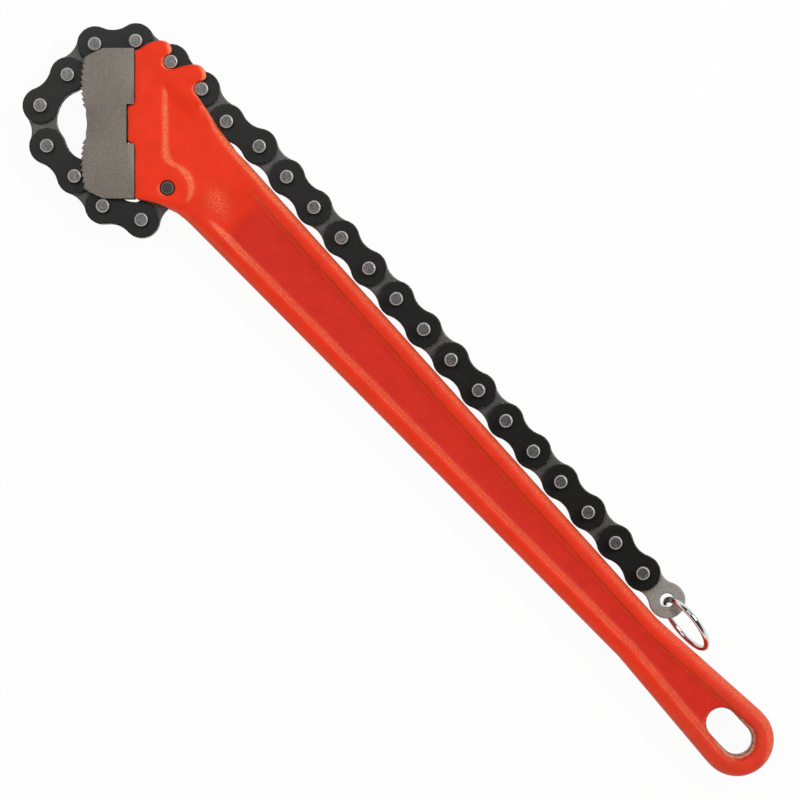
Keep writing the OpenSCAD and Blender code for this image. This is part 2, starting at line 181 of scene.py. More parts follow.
def startMaterial(name):
    material = bpy.data.materials.new(name)
    material.use_nodes = True
    tree = material.node_tree
    shader = tree.nodes["Principled BSDF"]
    spot = tree.nodes.new("ShaderNodeTexCoord").outputs["Object"]
    return material, tree, shader, spot


def readAttribute(tree, name):
    return addNode(tree, "ShaderNodeAttribute", {"attribute_name": name}).outputs["Fac"]


def addBump(tree, shader, height, depth):
    bump = addNode(tree, "ShaderNodeBump", Height=height, Strength=1.0, Distance=depth * mm)
    tree.links.new(bump.outputs["Normal"], shader.inputs["Normal"])


# distance from an upright line through a point, seen in plan
def planDistance(tree, spot, point):
    flat = addNode(tree, "ShaderNodeVectorMath", {"operation": "MULTIPLY"})
    tree.links.new(spot, flat.inputs[0])
    flat.inputs[1].default_value = (1.0, 1.0, 0.0)
    gap = addNode(tree, "ShaderNodeVectorMath", {"operation": "DISTANCE"})
    tree.links.new(flat.outputs[0], gap.inputs[0])
    gap.inputs[1].default_value = (point.x, point.y, 0.0)
    return gap.outputs["Value"]


# orange-red paint over a forging; head and tip have tones of their own along the handle
paint = {
    # painted shade: the floor of the channel is darker than the flanges
    "beam": srgb(226, 51, 24), "webShade": srgb(207, 44, 29),
    "head": srgb(233, 53, 24), "headFrom": (-120, -150),
    "tip": srgb(217, 58, 35), "tipFrom": (160, 205),
    # the pale colour is that of the painted highlights, and of paint rubbed thin on the lug noses
    "paleHighlightAndRub": srgb(250, 142, 100), "leastHighlight": 0.2, "speckHighlight": 0.75,
    "bare": srgb(208, 150, 128), "bareSize": 2.0,
    "grime": srgb(72, 30, 22), "grimeSize": 1.3, "pinSeam": (3.9, 3.4),
    "speck": 0.5, "speckRange": (0.42, 0.68),
    "grain": 0.75, "slow": 7.0, "depth": 0.09, "shade": (0.95, 1.04),
    "roughness": (0.32, 0.46), "gloss": 0.1,
}


def makePaint():
    material, tree, shader, spot = startMaterial("orangePaint")
    grain = useGroup(tree, grainGroup, Place=spot, Size=paint["grain"], Slow=paint["slow"])
    along = addNode(tree, "ShaderNodeSeparateXYZ", Vector=spot).outputs["X"]
    headShare = ramp(tree, along, *inMetres(paint["headFrom"]))
    tipShare = ramp(tree, along, *inMetres(paint["tipFrom"]))
    colour = mixColour(tree, headShare, paint["beam"], paint["head"])
    colour = mixColour(tree, tipShare, colour, paint["tip"])
    # painted shade: darker paint on the floor of the channel
    colour = mixColour(tree, readAttribute(tree, "webShade"), colour, paint["webShade"])
    shade = ramp(tree, grain.outputs["Broad"], *noiseRange, *paint["shade"])
    colour = mixColour(tree, 1.0, colour, shade, "MULTIPLY")
    specks = addNode(tree, "ShaderNodeTexNoise", Vector=spot, Scale=perMetre / paint["speck"], Detail=2.0)
    speckle = ramp(tree, specks.outputs["Fac"], *paint["speckRange"])
    # painted highlight: a pale speckled patch on the flat face behind the jaw
    patchHighlight = maths(tree, "MULTIPLY", speckle, readAttribute(tree, "patchHighlight"))
    colour = mixColour(tree, patchHighlight, colour, paint["paleHighlightAndRub"])
    # painted highlight: pale speckled colour on edges that face the key light, and a fainter one on edges that
    # face away
    uneven = maths(tree, "MULTIPLY_ADD", speckle, paint["speckHighlight"], paint["leastHighlight"])
    edgeHighlight = maths(tree, "MULTIPLY", uneven, readAttribute(tree, "edgeHighlight"))
    colour = mixColour(tree, edgeHighlight, colour, paint["paleHighlightAndRub"])
    # the lug noses: paint rubbed pale, with a highlight painted on their rims
    colour = mixColour(tree, readAttribute(tree, "lip"), colour, paint["paleHighlightAndRub"])
    for mask, tone in (("bare", "bare"), ("chips", "grime")):
        size = paint[tone + "Size"]
        worn = useGroup(tree, wearGroup, Place=spot, Mask=readAttribute(tree, mask), Size=size)
        colour = mixColour(tree, worn.outputs["Worn"], colour, paint[tone])
    seam = ramp(tree, planDistance(tree, spot, anchorPoint), *inMetres(paint["pinSeam"]))
    colour = mixColour(tree, seam, colour, paint["grime"])
    tree.links.new(colour, shader.inputs["Base Color"])
    rough = ramp(tree, grain.outputs["Fine"], *noiseRange, *paint["roughness"])
    tree.links.new(rough, shader.inputs["Roughness"])
    shader.inputs["Specular IOR Level"].default_value = paint["gloss"]
    addBump(tree, shader, grain.outputs["Height"], paint["depth"])
    return material


roughSpread = 0.16  # how much the roughness of a steel varies with its grain


# one recipe for the bare, grey and blackened steels
def makeSteel(name, look):
    material, tree, shader, spot = startMaterial(name)
    grain = useGroup(tree, grainGroup, Place=spot, Size=look["grain"], Slow=look["slow"])
    fine = grain.outputs["Fine"]
    colour = mixColour(tree, ramp(tree, fine, *fineRange), look["dark"], look["light"])
    shade = ramp(tree, grain.outputs["Broad"], *noiseRange, 1.0 - look["mottle"], 1.0 + look["mottle"])
    colour = mixColour(tree, 1.0, colour, shade, "MULTIPLY")
    edge = useGroup(tree, wearGroup, Place=spot, Mask=readAttribute(tree, "edge"), Size=look["chips"])
    colour = mixColour(tree, edge.outputs["Worn"], colour, look["edge"])
    tree.links.new(colour, shader.inputs["Base Color"])
    rough = maths(tree, "MULTIPLY_ADD", fine, roughSpread, look["roughness"] - roughSpread / 2)
    tree.links.new(rough, shader.inputs["Roughness"])
    metal = ramp(tree, edge.outputs["Worn"], 0.0, 1.0, look["metal"], look["edgeMetal"])
    tree.links.new(metal, shader.inputs["Metallic"])
    shader.inputs["Specular IOR Level"].default_value = look["gloss"]
    addBump(tree, shader, grain.outputs["Height"], look["depth"])
    return material


blackPlate = {
    "dark": srgb(17, 16, 15), "light": srgb(25, 24, 22), "edge": srgb(120, 118, 112),
    "grain": 0.5, "slow": 6.0, "chips": 1.0, "roughness": 0.3, "metal": 0.0, "edgeMetal": 0.7,
    "gloss": 0.34, "depth": 0.008, "mottle": 0.1,
}
greyPlate = {
    "dark": srgb(84, 84, 83), "light": srgb(106, 106, 104), "edge": srgb(140, 139, 136),
    "grain": 0.5, "slow": 6.0, "chips": 1.0, "roughness": 0.34, "metal": 0.45, "edgeMetal": 0.7,
    "gloss": 0.4, "depth": 0.01, "mottle": 0.1,
}
bareSteel = {
    "dark": srgb(136, 132, 125), "light": srgb(158, 154, 146), "edge": srgb(180, 176, 168),
    "grain": 0.6, "slow": 5.0, "chips": 1.0, "roughness": 0.45, "metal": 0.2, "edgeMetal": 0.7,
    "gloss": 0.4, "depth": 0.012, "mottle": 0.08,
}
jawSteel = {
    "dark": srgb(114, 107, 98), "light": srgb(133, 125, 115), "edge": srgb(175, 169, 160),
    "grain": 0.5, "slow": 12.0, "chips": 1.2, "roughness": 0.5, "metal": 0.25, "edgeMetal": 0.6,
    "gloss": 0.4, "depth": 0.012, "mottle": 0.03,
}
pinSteel = {
    "dark": srgb(98, 95, 93), "light": srgb(130, 127, 123), "edge": srgb(188, 186, 181),
    "grain": 0.7, "slow": 4.0, "chips": 1.6, "roughness": 0.3, "metal": 0.75, "edgeMetal": 0.5,
    "gloss": 0.5, "depth": 0.015, "mottle": 0.14,
}
anchorSteel = {
    "dark": srgb(52, 47, 44), "light": srgb(72, 66, 62), "edge": srgb(120, 112, 104),
    "grain": 0.6, "slow": 4.0, "chips": 1.0, "roughness": 0.5, "metal": 0.2, "edgeMetal": 0.5,
    "gloss": 0.4, "depth": 0.012, "mottle": 0.12,
}

brightRing = {
    "colour": srgb(226, 226, 224), "grain": 1.2, "slow": 7.0, "tone": (0.9, 1.0),
    "smearRange": (0.35, 0.7), "roughness": (0.09, 0.14),
}


def makeRingMetal():
    material, tree, shader, spot = startMaterial("brightRing")
    grain = useGroup(tree, grainGroup, Place=spot, Size=brightRing["grain"], Slow=brightRing["slow"])
    broad = grain.outputs["Broad"]
    rough = ramp(tree, broad, *brightRing["smearRange"], *brightRing["roughness"])
    tone = ramp(tree, broad, *noiseRange, *brightRing["tone"])
    colour = mixColour(tree, 1.0, brightRing["colour"], tone, "MULTIPLY")
    tree.links.new(colour, shader.inputs["Base Color"])
    tree.links.new(rough, shader.inputs["Roughness"])
    shader.inputs["Metallic"].default_value = 1.0
    return material


finish = {
    "handle": makePaint(),
    "jaw": makeSteel("jawSteel", jawSteel),
    "outer_links": makeSteel("blackPlate", blackPlate),
    "inner_links": makeSteel("greyPlate", greyPlate),
    "pins": makeSteel("pinSteel", pinSteel),
    "anchor": makeSteel("anchorSteel", anchorSteel),
    "end_link": makeSteel("bareSteel", bareSteel),
    "ring": makeRingMetal(),
}
print("materials made:", len(finish))


# putting pieces on their bodies
def newPiece(name, mesh):
    piece = bpy.data.objects.new(name, mesh)
    bpy.context.scene.collection.objects.link(piece)
    return piece


def mountPiece(piece, node, body, slot):
    piece.data.materials.clear()
    piece.data.materials.append(finish[slot])
    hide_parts(node)
    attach(piece, body)


def bakeModifiers(piece):
    depsgraph = bpy.context.evaluated_depsgraph_get()
    baked = bpy.data.meshes.new_from_object(piece.evaluated_get(depsgraph))
    piece.modifiers.clear()
    piece.data = baked


# reading and writing the vertices of a mesh as arrays
def setAttribute(mesh, name, values):
    layer = mesh.attributes.new(name, "FLOAT", "POINT")
    layer.data.foreach_set("value", np.asarray(values, np.float32))


def vertexArray(mesh):
    places = np.zeros(len(mesh.vertices) * 3, np.float32)
    mesh.vertices.foreach_get("co", places)
    return places.reshape(-1, 3).astype(float)


def normalArray(mesh):
    normals = np.zeros(len(mesh.vertices) * 3, np.float32)
    mesh.vertex_normals.foreach_get("vector", normals)
    return normals.reshape(-1, 3).astype(float)


def storePlaces(mesh, places):
    mesh.vertices.foreach_set("co", places.astype(np.float32).ravel())
    mesh.update()


easeStep = 0.5    # how far a vertex goes towards the middle of its neighbours in one pass
weldGap = 0.001   # vertices of a solid that lie closer than this are one


def remeshPiece(piece, voxel, passes=0):
    remesh = piece.modifiers.new("remesh", "REMESH")
    remesh.mode = "VOXEL"
    remesh.voxel_size = voxel * mm
    if passes:
        ease = piece.modifiers.new("ease", "SMOOTH")
        ease.factor = easeStep
        ease.iterations = passes
    bakeModifiers(piece)
    piece.data.shade_smooth()


def mergedCopy(name, node):
    mesh = nodes[node].data.copy()
    solid = bmesh.new()
    solid.from_mesh(mesh)
    bmesh.ops.remove_doubles(solid, verts=solid.verts, dist=weldGap * mm)
    solid.to_mesh(mesh)
    solid.free()
    return newPiece(name, mesh)


# a machined solid from the frame: crisp, with its edges just broken
def machinedCopy(name, node, shape):
    piece = mergedCopy(name, node)
    broken = piece.modifiers.new("broken", "BEVEL")
    broken.width = shape["broken"] * mm
    broken.segments = 2
    broken.limit_method = "ANGLE"
    broken.angle_limit = math.radians(shape["breakFrom"])
    bakeModifiers(piece)
    piece.data.shade_smooth()
    piece.data.set_sharp_from_angle(angle=math.radians(shape["sharp"]))
    return piece


# distance in plan, in millimetres, from each wanted place to the nearest of the chosen ones
def planReach(places, chosen, wanted):
    tree = KDTree(int(chosen.sum()))
    for index, (x, y, _) in enumerate(places[chosen]):
        tree.insert((x, y, 0.0), index)
    tree.balance()
    reach = np.full(len(places), 99.0)  # far away, for the places that aren't wanted
    for index in np.flatnonzero(wanted):
        reach[index] = tree.find((places[index, 0], places[index, 1], 0.0))[2] / mm
    return reach


# moves each place towards the middle of its neighbours, as far as its weight says
def easePlaces(mesh, places, weight, passes):
    ends = np.zeros(len(mesh.edges) * 2, np.int32)
    mesh.edges.foreach_get("vertices", ends)
    first, second = ends.reshape(-1, 2).T
    count = len(places)
    around = np.bincount(first, minlength=count) + np.bincount(second, minlength=count)
    for _ in range(passes):
        for axis in range(3):
            line = places[:, axis]
            total = np.bincount(first, line[second], count) + np.bincount(second, line[first], count)
            places[:, axis] = line + easeStep * weight * (total / np.maximum(around, 1) - line)


def slope(values, low, high):
    share = np.clip((values - low) / (high - low), 0, 1)
    return share * share * (3 - 2 * share)


def depthArray(places):
    return np.abs(places[:, 2] - midHeight) / mm


def planOffset(places, point):
    return (places[:, 0] - point.x) / mm, (places[:, 1] - point.y) / mm


def fromPoint(places, point):
    return np.hypot(places[:, 0] - point.x, places[:, 1] - point.y) / mm


# handle: depths count from its middle plane, which lies in the chain
handleShape = {
    "voxel": 0.85, "passes": 3, "seam": (0.6, 2.5), "face": 12.7, "cheek": 15.0, "axis": 7.27,
    "lugRound": 1.3, "neckRound": 4.7, "strip": 14.2, "boss": 10.9,
}
# how the jaw's back is turned, and where the first hook's pin is behind it and up along it
headFrame = {"turn": math.radians(46.7), "firstHook": (17.05, 28.87)}
# what counts as an outer wall of the head
headWall = {"near": 42, "upright": 0.2, "depth": (8.6, 12.0), "bore": 5, "seam": 0.7, "fork": 6}
# the raised field, seen from the second hook's pin
raisedField = {"right": 5, "bottom": -11, "corner": -8, "fall": 11 / 32}
# where the round edge grows: above from the second hook's pin, below from the anchor
roundGrows = {"above": (2, 24), "below": (-15, 18)}


# places seen from the jaw's back: how far behind it, and how far up along it
def headPlace(places):
    dx, dy = planOffset(places, hookPins[0])
    cosTurn = math.cos(headFrame["turn"])
    sinTurn = math.sin(headFrame["turn"])
    behind = headFrame["firstHook"][0] + dx * cosTurn + dy * sinTurn
    along = headFrame["firstHook"][1] - dx * sinTurn + dy * cosTurn
    return behind, along


# which places are near the head, and how far they are from its outer walls; the anchor's bore and the
# seam at the jaw aren't outer walls
def headWalls(places, normals, depth):
    behind, _ = headPlace(places)
    near = places[:, 0] < anchorPoint.x + headWall["near"] * mm
    inner, outer = headWall["depth"]
    wall = near & (np.abs(normals[:, 2]) < headWall["upright"]) & (depth > inner) & (depth < outer)
    wall &= (fromPoint(places, anchorPoint) > headWall["bore"]) & (behind > headWall["seam"])
    return near, planReach(places, wall, near & (depth > headWall["fork"]))


# rounds the outer edges of the head: narrow round the lugs, wide along the neck
def roundHead(mesh):
    places = vertexArray(mesh)
    depth = depthArray(places)
    near, reach = headWalls(places, normalArray(mesh), depth)
    behind, _ = headPlace(places)
    dx, dy = planOffset(places, hookPins[1])
    bottom = raisedField["bottom"]
    slanted = bottom - (dx - raisedField["corner"]) * raisedField["fall"]
    field = (dx < raisedField["right"]) & (dy > bottom) & (dy > slanted)
    boss = fromPoint(places, anchorPoint) < handleShape["boss"]
    raised = (behind < handleShape["strip"]) | boss | field
    top = np.where(raised, handleShape["cheek"], handleShape["face"])
    above = places[:, 1] / mm > handleShape["axis"]
    fromAnchor, _ = planOffset(places, anchorPoint)
    widening = np.where(above, slope(dx, *roundGrows["above"]), slope(fromAnchor, *roundGrows["below"]))
    radius = handleShape["lugRound"] + (handleShape["neckRound"] - handleShape["lugRound"]) * widening
    inside = np.clip(radius - reach, 0, radius)
    rounded = top - radius + np.sqrt(radius ** 2 - inside ** 2)
    lower = near & (depth > headWall["fork"]) & (reach < radius) & (depth > rounded)
    side = np.sign(places[:, 2] - midHeight)
    places[lower, 2] = midHeight + (side * rounded * mm)[lower]
    storePlaces(mesh, places)


# eases the whole forging a little, but keeps the seam at the jaw tight
def easeForging(mesh):
    places = vertexArray(mesh)
    behind, _ = headPlace(places)
    easePlaces(mesh, places, slope(behind, *handleShape["seam"]), handleShape["passes"])
    storePlaces(mesh, places)


# the steps of the raised field: where they are, how wide a slope they become and how far from the walls
stepPlace = {"depth": (13.2, 14.5), "faces": 11.2, "fromWall": 1.8}
stepSlope = {"full": 1.15, "width": 3.0, "fromWall": (0.8, 1.5), "passes": 12}
faintSlope = {
    "full": 1.1, "width": 9, "fromWall": (1.5, 2), "passes": 70, "behind": (15.5, 18), "along": (-8, -3),
}


# turns the sharp steps of the raised field into soft slopes, and fades them out under the lugs
def softenSteps(mesh):
    places = vertexArray(mesh)
    depth = depthArray(places)
    near, fromWall = headWalls(places, normalArray(mesh), depth)
    behind, along = headPlace(places)
    lowest, highest = stepPlace["depth"]
    step = near & (depth > lowest) & (depth < highest) & (fromWall > stepPlace["fromWall"])
    faces = near & (depth > stepPlace["faces"])
    fromStep = planReach(places, step, faces)
    faint = slope(behind, *faintSlope["behind"]) * slope(along, *faintSlope["along"])
    for shape, share in ((stepSlope, 1.0), (faintSlope, faint)):
        start, width = shape["fromWall"]
        inner = np.clip((fromWall - start) / width, 0, 1)
        weight = np.clip(shape["full"] - fromStep / shape["width"], 0, 1) * inner * faces * share
        easePlaces(mesh, places, weight, shape["passes"])
    storePlaces(mesh, places)


# the hanging slot: the straight half of its length, its wall and its rim
slotShape = {
    "half": 5.25, "radius": 7.25, "round": 1.7, "leastRound": 0.4, "towardsTip": (-6, 6), "face": 7.5,
}


# distance in plan from the wall of the hanging slot
def fromSlotWall(places):
    dx, dy = planOffset(places, slotPoint)
    past = np.maximum(np.abs(dx) - slotShape["half"], 0)
    return np.hypot(past, dy) - slotShape["radius"]


# the rim of the hanging slot, worn round, most of all towards the tip
def roundSlot(mesh):
    places = vertexArray(mesh)
    dx, _ = planOffset(places, slotPoint)
    least = slotShape["leastRound"]
    radius = slotShape["round"] * (least + (1 - least) * slope(dx, *slotShape["towardsTip"]))
    inside = np.clip(radius - np.maximum(fromSlotWall(places), 0), 0, radius)
    drop = radius - np.sqrt(radius ** 2 - inside ** 2)
    drop *= depthArray(places) > slotShape["face"]
    places[:, 2] -= np.sign(places[:, 2] - midHeight) * drop * mm
    storePlaces(mesh, places)


# the round top of each hook lug, seen from the pin in it
lugs = [
    {"pin": hookPins[0], "top": (-6.7, 0.3), "radius": 4.9},
    {"pin": hookPins[1], "top": (-6.6, 1.9), "radius": 5.4},
]
# where the paint is darker (painted shade in the channel), paler (painted highlights, and paint rubbed on the lug
# noses) or worn: one mark for each attribute that it reads
webShadeMark = {"depth": 10.6, "fade": 1.2, "flat": 0.75}
lipMark = {"share": 0.9, "inset": 0.9, "width": 0.8, "start": (-62, -40), "stop": (60, 30), "depth": 12.5}
# painted highlight: a pale patch on the flat face behind the jaw
patchHighlightMark = {"share": 0.75, "behind": 39, "along": -37, "lean": 0.4, "size": (4.5, 6), "flat": 0.8}
# painted highlight on the edges, by how far they face the key light; stronger near the head
edgeHighlightMark = {
    "lightWay": (0.34, 0.94), "lit": 0.66, "litFrom": (0.2, 0.5), "shaded": 0.2, "shadedFrom": (0.2, 0.6),
    "headGain": 0.7, "headFrom": (70, 30), "flat": (0.12, 0.4),
}
bareMark = {"share": 0.72, "fromWall": (2.3, 1.0), "tipEnd": (-8, 2)}
chipMark = {"share": 0.62, "fromWall": (0.7, 0.3), "flat": 0.15}


# the rounded noses of the hook lugs, where the paint is rubbed pale and a highlight is painted on their rims
def lugLips(places):
    lips = np.zeros(len(places))
    for lug in lugs:
        dx, dy = planOffset(places, lug["pin"])
        dx -= lug["top"][0]
        dy -= lug["top"][1]
        turn = np.degrees(np.arctan2(dy, dx) - headFrame["turn"])
        rim = np.exp(-((np.hypot(dx, dy) - lug["radius"] + lipMark["inset"]) / lipMark["width"]) ** 2)
        lips = np.maximum(lips, rim * slope(turn, *lipMark["start"]) * slope(turn, *lipMark["stop"]))
    return lips


def paintHandle(mesh):
    places = vertexArray(mesh)
    normals = normalArray(mesh)
    depth = depthArray(places)
    flat = np.abs(normals[:, 2])
    # painted shade on the floor of the channel
    webShade = np.clip((webShadeMark["depth"] - depth) / webShadeMark["fade"], 0, 1)
    setAttribute(mesh, "webShade", webShade * (flat > webShadeMark["flat"]))
    # lug noses: rubbed paint and a painted highlight on their rims
    setAttribute(mesh, "lip", lipMark["share"] * lugLips(places) * (depth > lipMark["depth"]))
    # painted highlight: a pale speckled patch on the flat face behind the jaw
    behind, along = headPlace(places)
    across = behind - patchHighlightMark["behind"]
    down = along - patchHighlightMark["along"] + patchHighlightMark["lean"] * across
    width, length = patchHighlightMark["size"]
    patchHighlight = np.exp(-(across / width) ** 2 - (down / length) ** 2)
    setAttribute(mesh, "patchHighlight", patchHighlightMark["share"] * patchHighlight * (flat > patchHighlightMark["flat"]))
    # painted highlight: edges that face the key light are painted pale, those that face away a little
    facing = edgeHighlightMark["lightWay"][0] * normals[:, 0] + edgeHighlightMark["lightWay"][1] * normals[:, 1]
    edgeHighlight = edgeHighlightMark["lit"] * slope(facing, *edgeHighlightMark["litFrom"])
    edgeHighlight += edgeHighlightMark["shaded"] * slope(-facing, *edgeHighlightMark["shadedFrom"])
    fromAnchor, _ = planOffset(places, anchorPoint)
    gain = 1 + edgeHighlightMark["headGain"] * slope(fromAnchor, *edgeHighlightMark["headFrom"])
    setAttribute(mesh, "edgeHighlight", edgeHighlight * gain * slope(flat, *edgeHighlightMark["flat"]))
    fromSlot = fromSlotWall(places)
    tipEnd = slope(planOffset(places, slotPoint)[0], *bareMark["tipEnd"])
    setAttribute(mesh, "bare", bareMark["share"] * slope(fromSlot, *bareMark["fromWall"]) * tipEnd)
    chips = chipMark["share"] * slope(fromSlot, *chipMark["fromWall"])
    setAttribute(mesh, "chips", chips * (flat > chipMark["flat"]))


# remeshed so that the edges can be rounded, and once more so that the rounded head is even
handle = mergedCopy("handle_forging", "handle")
remeshPiece(handle, handleShape["voxel"])
roundHead(handle.data)
remeshPiece(handle, handleShape["voxel"])
easeForging(handle.data)
softenSteps(handle.data)
roundSlot(handle.data)
paintHandle(handle.data)
mountPiece(handle, "handle", "handle", "handle")
print("handle:", len(handle.data.polygons), "faces")


# jaw plates and end link: no worn edges
def leaveEdges(mesh):
    setAttribute(mesh, "edge", np.zeros(len(mesh.vertices)))


jawShape = {"broken": 0.2, "breakFrom": 40, "sharp": 30}
for side in ("front", "back"):
    jaw = machinedCopy("jaw_" + side, "jaw_plate_" + side, jawShape)
    leaveEdges(jaw.data)
    mountPiece(jaw, "jaw_plate_" + side, "handle", "jaw")

endLinkShape = {"voxel": 0.35, "passes": 2}
endLink = mergedCopy("end_plates", "end_link")
remeshPiece(endLink, endLinkShape["voxel"], endLinkShape["passes"])
leaveEdges(endLink.data)
mountPiece(endLink, "end_link", "link_%02d" % lastLink, "end_link")
print("jaw plates and end link made")


# rings of vertices, and the walls between them
def circle(radius, steps, middle=0.0):
    points = []
    for step in range(steps):
        angle = 2 * math.pi * step / steps
        points.append((middle + radius * math.cos(angle), radius * math.sin(angle)))
    return points


def startSolid():
    solid = bmesh.new()
    solid.verts.layers.float.new("edge")
    return solid


def addRing(solid, outline, level, worn=0.0):
    edgeLayer = solid.verts.layers.float["edge"]
    ring = []
    for x, y in outline:
        vert = solid.verts.new((x * mm, y * mm, level * mm))
        vert[edgeLayer] = worn
        ring.append(vert)
    return ring


def joinRings(solid, rings):
    count = len(rings[0])
    for low, high in zip(rings, rings[1:]):
        for i in range(count):
            j = (i + 1) % count
            solid.faces.new((low[i], low[j], high[j], high[i]))


def closeSolid(solid, name, sharp):
    bmesh.ops.recalc_face_normals(solid, faces=solid.faces)
    mesh = bpy.data.meshes.new(name)
    solid.to_mesh(mesh)
    solid.free()
    mesh.shade_smooth()
    mesh.set_sharp_from_angle(angle=math.radians(sharp))
    return mesh


# chain plates
plateShape = {
    "pitch": 19.05, "endRadius": 8.5, "waist": 12.2, "hole": 3.15, "holeSteps": 28,
    "edgeRound": 0.45, "edgeSteps": 3, "arcSteps": 30, "waistSteps": 10, "flatBand": 0.35,
    "edgeWorn": 0.35, "cornerWorn": 0.25, "sharp": 38,
}


def eightOutline(inset):
    half = plateShape["pitch"] / 2
    end = plateShape["endRadius"]
    waist = plateShape["waist"] / 2
    hollow = (half ** 2 + waist ** 2 - end ** 2) / (2 * (end - waist))
    touch = math.atan2(waist + hollow, half)
    points = []

    def arc(middle, radius, start, stop, steps, ends):
        for step in range(0 if ends else 1, steps + 1 if ends else steps):
            angle = start + (stop - start) * step / steps
            points.append((middle[0] + radius * math.cos(angle), middle[1] + radius * math.sin(angle)))

    arc((half, 0), end - inset, touch - math.pi, math.pi - touch, plateShape["arcSteps"], True)
    arc((0, waist + hollow), hollow + inset, -touch, touch - math.pi, plateShape["waistSteps"], False)
    arc((-half, 0), end - inset, touch, 2 * math.pi - touch, plateShape["arcSteps"], True)
    arc((0, -waist - hollow), hollow + inset, math.pi - touch, touch, plateShape["waistSteps"], False)
    return points


# the outline's inset, height and wear from the lower face up to the upper one
def plateLevels(thickness):
    soft = plateShape["edgeRound"]
    levels = [(soft + plateShape["flatBand"], -thickness / 2, 0.0)]
    for step in range(plateShape["edgeSteps"] + 1):
        turn = math.pi / 2 * step / plateShape["edgeSteps"]
        level = -thickness / 2 + soft * (1 - math.cos(turn))
        worn = plateShape["edgeWorn"] + plateShape["cornerWorn"] * math.sin(2 * turn)
        levels.append((soft * (1 - math.sin(turn)), level, worn))
    return levels + [(inset, -level, worn) for inset, level, worn in reversed(levels)]


def plateMesh(name, thickness):
    solid = startSolid()
    rings = []
    for inset, level, worn in plateLevels(thickness):
        rings.append(addRing(solid, eightOutline(inset), level, worn))
    joinRings(solid, rings)
    lowLoops = [rings[0]]
    highLoops = [rings[-1]]
    for middle in (-plateShape["pitch"] / 2, plateShape["pitch"] / 2):
        outline = circle(plateShape["hole"], plateShape["holeSteps"], middle)
        low = addRing(solid, outline, -thickness / 2)
        high = addRing(solid, outline, thickness / 2)
        joinRings(solid, [high, low])
        lowLoops.append(low)
        highLoops.append(high)
    for loops, up in ((lowLoops, -1), (highLoops, 1)):
        edges = []
        for loop in loops:
            for first, second in zip(loop, loop[1:] + loop[:1]):
                edges.append(solid.edges.get((first, second)))
        bmesh.ops.triangle_fill(solid, edges=edges, use_beauty=True, normal=(0, 0, up))
    return closeSolid(solid, name, plateShape["sharp"])


# real meshes with their material at the end of a tree
def endTree(tree, last, given, socket):
    real = addNode(tree, "GeometryNodeRealizeInstances", Geometry=last.outputs[0])
    painted = addNode(tree, "GeometryNodeSetMaterial", Geometry=real.outputs[0],
                      Material=given.outputs["Finish"])
    tree.links.new(painted.outputs[0], socket)


# linkPair: one plate on each side of the chain, the lower one turned over
def makeLinkTree():
    tree, given, result = startGroup(
        "linkPair", "GeometryNodeTree",
        [("Plate", "NodeSocketGeometry", None),
         ("Middle", "NodeSocketVector", None),
         ("Turn", "NodeSocketVector", None),
         ("Spread", "NodeSocketFloat", 0.002),
         ("Finish", "NodeSocketMaterial", None)],
        [("Links", "NodeSocketGeometry")])
    spread = given.outputs["Spread"]
    below = addNode(tree, "ShaderNodeCombineXYZ", Z=maths(tree, "MULTIPLY", spread, -1.0))
    apart = addNode(tree, "ShaderNodeCombineXYZ", Z=maths(tree, "MULTIPLY", spread, 2.0))
    line = addNode(tree, "GeometryNodeMeshLine", Count=2,
                   Start_Location=below.outputs[0], Offset=apart.outputs[0])
    index = tree.nodes.new("GeometryNodeInputIndex")
    over = maths(tree, "MULTIPLY", maths(tree, "SUBTRACT", 1.0, index.outputs[0]), math.pi)
    flip = addNode(tree, "ShaderNodeCombineXYZ", X=over)
    pair = addNode(tree, "GeometryNodeInstanceOnPoints", Points=line.outputs[0],
                   Instance=given.outputs["Plate"], Rotation=flip.outputs[0])
    placed = addNode(tree, "GeometryNodeTransform", Geometry=pair.outputs[0],
                     Translation=given.outputs["Middle"], Rotation=given.outputs["Turn"])
    endTree(tree, placed, given, result.inputs["Links"])
    return tree


# pinPair: the two riveted pins of an outer link
def makePinTree():
    tree, given, result = startGroup(
        "pinPair", "GeometryNodeTree",
        [("Pin", "NodeSocketGeometry", None),
         ("First", "NodeSocketVector", None),
         ("Second", "NodeSocketVector", None),
         ("Finish", "NodeSocketMaterial", None)],
        [("Pins", "NodeSocketGeometry")])
    line = addNode(tree, "GeometryNodeMeshLine", {"mode": "END_POINTS"}, Count=2,
                   Start_Location=given.outputs["First"], Offset=given.outputs["Second"])
    pair = addNode(tree, "GeometryNodeInstanceOnPoints", Points=line.outputs[0],
                   Instance=given.outputs["Pin"])
    endTree(tree, pair, given, result.inputs["Pins"])
    return tree


def bakeTree(name, template, tree, values):
    piece = newPiece(name, template)
    modifier = piece.modifiers.new(tree.name, "NODES")
    modifier.node_group = tree
    for item in tree.interface.items_tree:
        if item.in_out == "INPUT" and item.name in values:
            modifier[item.identifier] = values[item.name]
    bakeModifiers(piece)
    return piece


pinShape = {
    "radius": 3.1, "half": 14.7, "chamfer": 0.5, "steps": 3, "sides": 36,
    "flatBand": 0.15, "sideBand": 0.2, "bulge": 0.12, "worn": 0.9, "sharp": 50,
}


